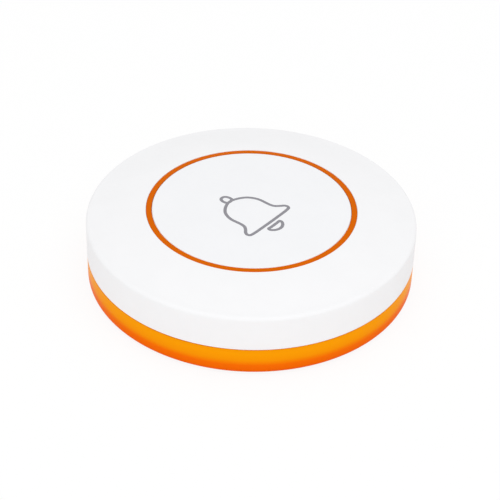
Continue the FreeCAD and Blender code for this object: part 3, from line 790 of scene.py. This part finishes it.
def make_bell_sign():
    """Generic bell: body with a flared rim, loop and clapper, each given as its right half."""
    body_half = [
        (0.0, 3.96), (0.9, 3.8), (2.2, 3.17), (3.17, 2.33), (3.8, 1.2), (4.06, 0.1),
        (4.05, -1.2), (4.07, -2.33), (4.28, -3.05), (4.92, -3.77), (5.5, -4.27), (5.74, -4.82),
        (5.54, -5.3), (5.05, -5.45),
    ]
    loop_half = [(0.0, 5.82), (0.45, 5.68), (0.75, 5.26), (0.84, 4.75), (0.76, 4.22), (0.4, 3.94)]
    drop_half = [
        (0.0, -6.62), (0.9, -6.62), (1.56, -6.6), (1.64, -6.98), (1.25, -7.56), (0.6, -7.95),
    ]
    body = mirrored(body_half, [(1.8, -5.57), (-1.8, -5.57)])
    loop = [point + Vector((LOOP_SHIFT, 0)) for point in mirrored(loop_half, [(0.0, 3.88)])]
    drop = [point + Vector((DROP_SHIFT, 0)) for point in mirrored(drop_half, [(0.0, -8.06)])]
    sign = solid(inked(body), "printed_bell_sign", BELL_INK)
    for name, line in (("loop_ink", loop), ("drop_ink", drop)):
        combine(sign, [solid(inked(line), name, BELL_INK)], "UNION")
    dressed(sign, "button", "white_abs")


# Button carrier. The ring at the top of its collar is wider than the CAD model's.

BOOT_HOLE = 2.4
RING_OUTER = COLLAR_OUTER + 0.07
RING_INNER = COLLAR_INNER - 0.12
RING_INNER_TOP = RING_TOP + 0.08
SLOT_HALF = (0.7, 2.2)
SLOT_MIDDLE = 15.5
LEG_ROOT = 0.3


def make_button_carrier():
    """Carrier whose collar shows as the orange ring round the button, its orange darkened with
    painted shade.
    """
    section = [
        (BOOT_HOLE, DECK_BOTTOM, 0.05), (FLANGE, DECK_BOTTOM, 0.15), (FLANGE, DECK_TOP, 0.15),
        (COLLAR_OUTER, DECK_TOP, 0.2), (RING_OUTER, RING_TOP, 0.05),
        (RING_INNER, RING_INNER_TOP, 0.05), (COLLAR_INNER, DECK_TOP, 0.2),
        (BOOT_HOLE, DECK_TOP, 0.05),
    ]
    carrier = solid(turned(rounded(section, 6)), "moulded_button_carrier", ORANGE_RING_PAINTED_SHADE)
    slot = extruded(plate(*SLOT_HALF), DECK_BOTTOM - OVERRUN, DECK_TOP + OVERRUN)
    slot = shifted(slot, SLOT_MIDDLE)
    leg = extruded(plate(*LEG_HALF), BOARD_TOP, DECK_BOTTOM + LEG_ROOT)
    leg = shifted(leg, FLANGE - LEG_HALF[0])
    combine(carrier, [repeated(leg, "carrier_legs", 3, ORANGE_RING_PAINTED_SHADE, first=60)], "UNION")
    combine(carrier, [repeated(slot, "hook_slots", 4, ORANGE_RING_PAINTED_SHADE)], "DIFFERENCE")
    dressed(carrier, "housing", "orange_abs", "button_carrier")


# Underside

COVER_FACE = 0.4
COVER_FLANGE_TOP = 0.95
COVER_BARREL = 11.1
GROOVE = (10.6, 10.75, 10.95)
GROOVE_LEVEL = 0.52
LUG_HALF_ANGLE = 13
LUG_INNER = 10.5
LUG_BOTTOM = 1.85
SLOT_END = 6.1
SLOT_RADIUS = 0.9
SLOT_ROOF = 1.3


def make_battery_cover():
    """Bayonet cover with a coin slot and a fine groove round its face."""
    section = [
        (0, COVER_FACE, 0), (GROOVE[0], COVER_FACE, 0.05), (GROOVE[1], GROOVE_LEVEL, 0.05),
        (GROOVE[2], GROOVE_LEVEL, 0.05), (COVER_BARREL, COVER_FACE, 0.05),
        (COVER, COVER_FACE, 0.15), (COVER, COVER_FLANGE_TOP, 0.05),
        (COVER_BARREL, COVER_FLANGE_TOP, 0.05),
        (COVER_BARREL, COVER_TOP, 0.1), (0, COVER_TOP, 0),
    ]
    cover = solid(turned(rounded(section, 5)), "moulded_battery_cover", ORANGE_BAND)
    lug = extruded(sector(COVER, LUG_INNER, LUG_HALF_ANGLE, steps=6), LUG_BOTTOM,
                   COVER_TOP - 0.01)
    combine(cover, [repeated(lug, "bayonet_lugs", 3, ORANGE_BAND, first=COVER_TURN)], "UNION")
    arc = [math.pi * (step / 12 - 0.5) for step in range(13)]
    end = [(SLOT_END + SLOT_RADIUS * math.cos(a), SLOT_RADIUS * math.sin(a)) for a in arc]
    slot = extruded(end + [(-x, -y) for x, y in end], COVER_FACE - 0.3, SLOT_ROOF)
    slot = shifted(slot, 0, angle=COVER_TURN)
    combine(cover, [solid(slot, "coin_slot", ORANGE_BAND)], "DIFFERENCE")
    dressed(cover, "battery_cover", "orange_abs", "battery_cover")


def make_rubber_feet():
    """Three rubber plugs with a rolled edge and a dimple in the middle."""
    foot = turned(rounded([
        (0, 0.12, 0), (1.2, 0.12, 0.3), (1.6, 0.0, 0.3), (2.95, 0.0, 0.25), (3.0, 1.2, 0.15),
        (0, 1.2, 0)], 5), 64)
    feet = repeated(shifted(foot, SCREW_RING), "rubber_foot_plugs", 3, FOOT_RUBBER)
    dressed(feet, "housing", "foot_rubber", "rubber_feet")


HEAD = 1.9
SHANK = 0.62
THREAD = 0.84
THREAD_PITCH = 0.72
THREAD_TURNS = 11
RECESS_HALF = (0.9, 0.2)


def make_housing_screws():
    """Three self-tapping screws with cross recesses and threads shown as close rings."""
    low, high = HEAD_SEAT - 1.3, HEAD_SEAT + 9
    section = [(0, low, 0), (1.45, low, 0.3), (HEAD, low + 0.6, 0.3), (HEAD, HEAD_SEAT, 0.08),
               (SHANK, HEAD_SEAT, 0.05)]
    for number in range(THREAD_TURNS):
        level = HEAD_SEAT + 0.5 + number * THREAD_PITCH
        section += [(SHANK, level, 0), (THREAD, level + 0.2, 0.03), (SHANK, level + 0.4, 0)]
    section += [(SHANK, high - 0.4, 0), (0.15, high, 0.05), (0, high, 0)]
    screw = solid(turned(rounded(section, 3), 48), "screw_in_the_making", SCREW_ZINC)
    recess = extruded(plate(*RECESS_HALF), low - 0.3, low + 0.75)
    across = extruded(plate(*reversed(RECESS_HALF)), low - 0.3, low + 0.75)
    combine(screw, [solid(recess, "recess", SCREW_ZINC), solid(across, "cross", SCREW_ZINC)],
            "DIFFERENCE")
    mesh = bmesh.new()
    mesh.from_mesh(screw.data)
    bpy.data.objects.remove(screw)
    screws = repeated(shifted(mesh, SCREW_RING), "self_tapping_screws", 3, SCREW_ZINC)
    dressed(screws, "housing", "zinc_steel", "housing_screws")


CELL = 10
CELL_BOTTOM = 2.45
CRIMP_TOP = 5.15
CELL_TOP = 5.65


def make_coin_cell():
    """Coin cell: crimped steel can and a stepped lid."""
    can = turned(rounded([
        (0, CELL_BOTTOM, 0), (CELL, CELL_BOTTOM, 0.35), (CELL, CRIMP_TOP, 0.25),
        (9.0, CRIMP_TOP, 0.1), (8.95, 5.05, 0.03), (0, 5.05, 0)], 5))
    can = solid(can, "crimped_cell_can", CELL_NICKEL)
    dressed(can, "housing", "nickel_steel", "cell_can")
    lid = turned(rounded([
        (0, CRIMP_TOP, 0), (8.9, CRIMP_TOP, 0.03), (8.9, 5.3, 0.1), (8.2, 5.4, 0.15),
        (7.9, CELL_TOP, 0.12), (0, CELL_TOP, 0)], 5))
    lid = solid(lid, "stepped_cell_lid", CELL_NICKEL)
    dressed(lid, "housing", "nickel_steel", "cell_lid")


# Pieces inside. Most are softened copies of the CAD nodes: edge rounding, material, finish.

SOFTENED_NODES = {
    "contact_positive": (0.05, SPRING_NICKEL, "nickel_steel"),
    "contact_negative": (0.05, SPRING_NICKEL, "nickel_steel"),
    "circuit_board": (0.06, BOARD_LAMINATE, "board_laminate"),
    "switch_housing": (0.14, SWITCH_PLASTIC, "switch_plastic"),
    "switch_cover_plate": (0.05, SPRING_NICKEL, "nickel_steel"),
    "switch_dome": (0.03, SPRING_NICKEL, "nickel_steel"),
    "switch_terminals": (0.06, TINNED_COPPER, "tinned_copper"),
    "radio_chip": (0.16, CHIP_PLASTIC, "chip_plastic"),
    "chip_legs": (0.05, TINNED_COPPER, "tinned_copper"),
    "crystal": (0.12, CELL_NICKEL, "nickel_steel"),
    "antenna_wire": (0.12, TINNED_COPPER, "tinned_copper"),
}


def merged_copy(node):
    """Copy of a CAD node's mesh with its triangles joined into whole faces."""
    mesh = bmesh.new()
    mesh.from_mesh(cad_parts[node].data)
    bmesh.ops.remove_doubles(mesh, verts=mesh.verts, dist=1e-6)
    bmesh.ops.dissolve_limit(mesh, angle_limit=math.radians(1), verts=mesh.verts, edges=mesh.edges)
    return mesh


def soften(piece, width, angle=35):
    """Round the sharp edges of a piece by a width in millimetres."""
    bevel = piece.modifiers.new("soft_edges", "BEVEL")
    bevel.width = width * MM
    bevel.segments = 3
    bevel.limit_method = "ANGLE"
    bevel.angle_limit = math.radians(angle)
    bevel.use_clamp_overlap = True
    evaluated(piece)


def make_softened_nodes():
    """Give the small pieces inside rounded edges and finishes, and the snap dome a mesh of its
    own.
    """
    for node, (width, material, finish) in SOFTENED_NODES.items():
        piece = solid(merged_copy(node), f"soft_{node}", material)
        soften(piece, width)
        dressed(piece, "housing", finish, node)
        if node == "switch_dome":
            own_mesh(piece)


def make_switch_plunger():
    """Round plunger with a soft crown and a flange under the cover plate."""
    plunger = turned(rounded([
        (0, 8.25, 0), (2.2, 8.25, 0.15), (2.2, 9.35, 0.12), (1.7, 9.35, 0.05), (1.7, 10.4, 0.3),
        (0, 10.4, 0)], 5), 64)
    dressed(solid(plunger, "turned_switch_plunger", SWITCH_PLASTIC), "plunger", "switch_plastic",
            "switch_plunger")


def make_plunger_boot():
    """Silicone boot with a rolled web, given a mesh of its own."""
    boot = turned(rounded([
        (0, 10.45, 0), (1.3, 10.45, 0.2), (1.3, DECK_TOP, 0.05), (4.4, DECK_TOP, 0.05),
        (4.4, 11.1, 0.15), (3.5, 11.1, 0.1), (3.1, 10.98, 0.1), (2.2, 11.1, 0.25),
        (1.3, 11.3, 0.2), (1.25, 11.85, 0.25), (0, 11.85, 0)], 5), 96)
    boot = solid(boot, "rolled_plunger_boot", BOOT_SILICONE)
    dressed(boot, "housing", "silicone", "plunger_boot")
    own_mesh(boot)


CAP_LENGTH = 0.4 * MM
BODY_INSET = 0.04 * MM


def make_end_capped(node, name, material, finish):
    """Chip components: ceramic bricks with tinned ends, one for each solid of the node."""
    copy = merged_copy(node)
    islands = []
    left = set(copy.verts)
    while left:
        group, edge = set(), [left.pop()]
        while edge:
            vert = edge.pop()
            group.add(vert)
            for other in (link.other_vert(vert) for link in vert.link_edges):
                if other in left:
                    left.discard(other)
                    edge.append(other)
        islands.append([tuple(vert.co) for vert in group])
    copy.free()
    mesh = bmesh.new()
    for corners in sorted(islands, key=min):
        low = [min(corner[axis] for corner in corners) for axis in range(3)]
        high = [max(corner[axis] for corner in corners) for axis in range(3)]
        stops = (low[0], low[0] + CAP_LENGTH, high[0] - CAP_LENGTH, high[0])
        spans = [(*stops[:2], 0, 1), (*stops[1:3], BODY_INSET, 0), (*stops[2:], 0, 1)]
        for start, end, shrink, slot in spans:
            box = bmesh.ops.create_cube(mesh, size=1)["verts"]
            for vert in box:
                vert.co = (start if vert.co.x < 0 else end,
                           low[1] + shrink if vert.co.y < 0 else high[1] - shrink,
                           low[2] if vert.co.z < 0 else high[2] - shrink)
            for face in {face for vert in box for face in vert.link_faces}:
                face.material_index = slot
    bmesh.ops.recalc_face_normals(mesh, faces=mesh.faces)
    piece = solid(mesh, name, material)
    piece.data.materials.append(TINNED_COPPER)
    soften(piece, 0.06)
    dressed(piece, "housing", finish, node)


def make_status_light():
    """Indicator light in pale yellow resin."""
    piece = solid(merged_copy("status_led"), "lensed_status_light", LED_RESIN)
    soften(piece, 0.08)
    dressed(piece, "housing", "led_resin", "status_led")


make_top_shell()
make_base_shell()
make_button_cap()
make_bell_sign()
make_button_carrier()
make_battery_cover()
make_rubber_feet()
make_housing_screws()
make_coin_cell()
make_softened_nodes()
make_switch_plunger()
make_plunger_boot()
make_end_capped("capacitors", "end_capped_capacitors", CAPACITOR_CERAMIC, "capacitor_ceramic")
make_end_capped("resistors", "end_capped_resistors", RESISTOR_CERAMIC, "resistor_ceramic")
make_status_light()


# Studio: white floor, soft lamps and a pale sky

FLOOR_WHITE_SHARE = 0.9
SKY_STRENGTH = 0.86


def seen_directly(tree):
    """Value that is one where the camera, a mirror or glass looks at the surface."""
    path = tree.nodes.new("ShaderNodeLightPath")
    seen = computed(
        tree, "MAXIMUM", path.outputs["Is Camera Ray"], path.outputs["Is Glossy Ray"])
    return computed(tree, "MAXIMUM", seen, path.outputs["Is Transmission Ray"])


def mixed(tree, share, first, second):
    """Mix of two shaders."""
    mix = tree.nodes.new("ShaderNodeMixShader")
    for socket, value in zip(mix.inputs, (share, first, second)):
        tree.links.new(value, socket)
    return mix.outputs["Shader"]


def make_floor_material():
    """Matt, nearly white paper. The camera and reflections see most of it as plain white."""
    material, tree, shader, place = new_material("studio_paper")
    fine = speckle(tree, place, scale=40, detail=2)
    tree.links.new(shades(tree, fine, [(0.3, (0.94, 0.94, 0.94)), (0.7, (0.95, 0.95, 0.95))]),
                   shader.inputs["Base Color"])
    shader.inputs["Roughness"].default_value = 0.9
    shader.inputs["Specular IOR Level"].default_value = 0.0
    white = tree.nodes.new("ShaderNodeEmission")
    white.inputs["Strength"].default_value = 1.0
    share = computed(tree, "MULTIPLY", seen_directly(tree), FLOOR_WHITE_SHARE)
    surface = mixed(tree, share, shader.outputs["BSDF"], white.outputs["Emission"])
    tree.links.new(surface, tree.nodes["Material Output"].inputs["Surface"])
    return material


def make_floor():
    """Large pale floor that keeps the shadow of the object."""
    mesh = bmesh.new()
    bmesh.ops.create_grid(mesh, x_segments=1, y_segments=1, size=3.0)
    solid(mesh, "studio_floor", make_floor_material())


def make_lamp(name, azimuth, elevation, distance, side, power):
    """Square soft lamp aimed at the object; angles in degrees."""
    data = bpy.data.lights.new(name, "AREA")
    data.shape = "SQUARE"
    data.size = side
    data.energy = power
    lamp = bpy.data.objects.new(name, data)
    bpy.context.scene.collection.objects.link(lamp)
    outward = direction(math.radians(azimuth), math.radians(elevation))
    turn = outward.to_track_quat("Z", "Y").to_matrix().to_4x4()
    lamp.matrix_world = Matrix.Translation(outward * distance) @ turn


def make_sky():
    """Even pale surroundings, white where the camera or a reflection sees them."""
    world = bpy.data.worlds.new("studio_sky")
    bpy.context.scene.world = world
    world.use_nodes = True
    tree = world.node_tree
    tree.nodes.clear()
    skies = []
    for strength in (SKY_STRENGTH, 1.0):
        sky = tree.nodes.new("ShaderNodeBackground")
        sky.inputs["Color"].default_value = (1, 1, 1, 1)
        sky.inputs["Strength"].default_value = strength
        skies.append(sky.outputs["Background"])
    output = tree.nodes.new("ShaderNodeOutputWorld")
    tree.links.new(mixed(tree, seen_directly(tree), *skies), output.inputs["Surface"])


make_floor()
make_lamp("overhead_softbox", azimuth=-22, elevation=68, distance=0.5, side=0.42, power=0.57)
make_lamp("front_softbox", azimuth=-76, elevation=24, distance=1.1, side=0.8, power=1.05)
make_sky()
bpy.context.scene.view_settings.view_transform = "Standard"
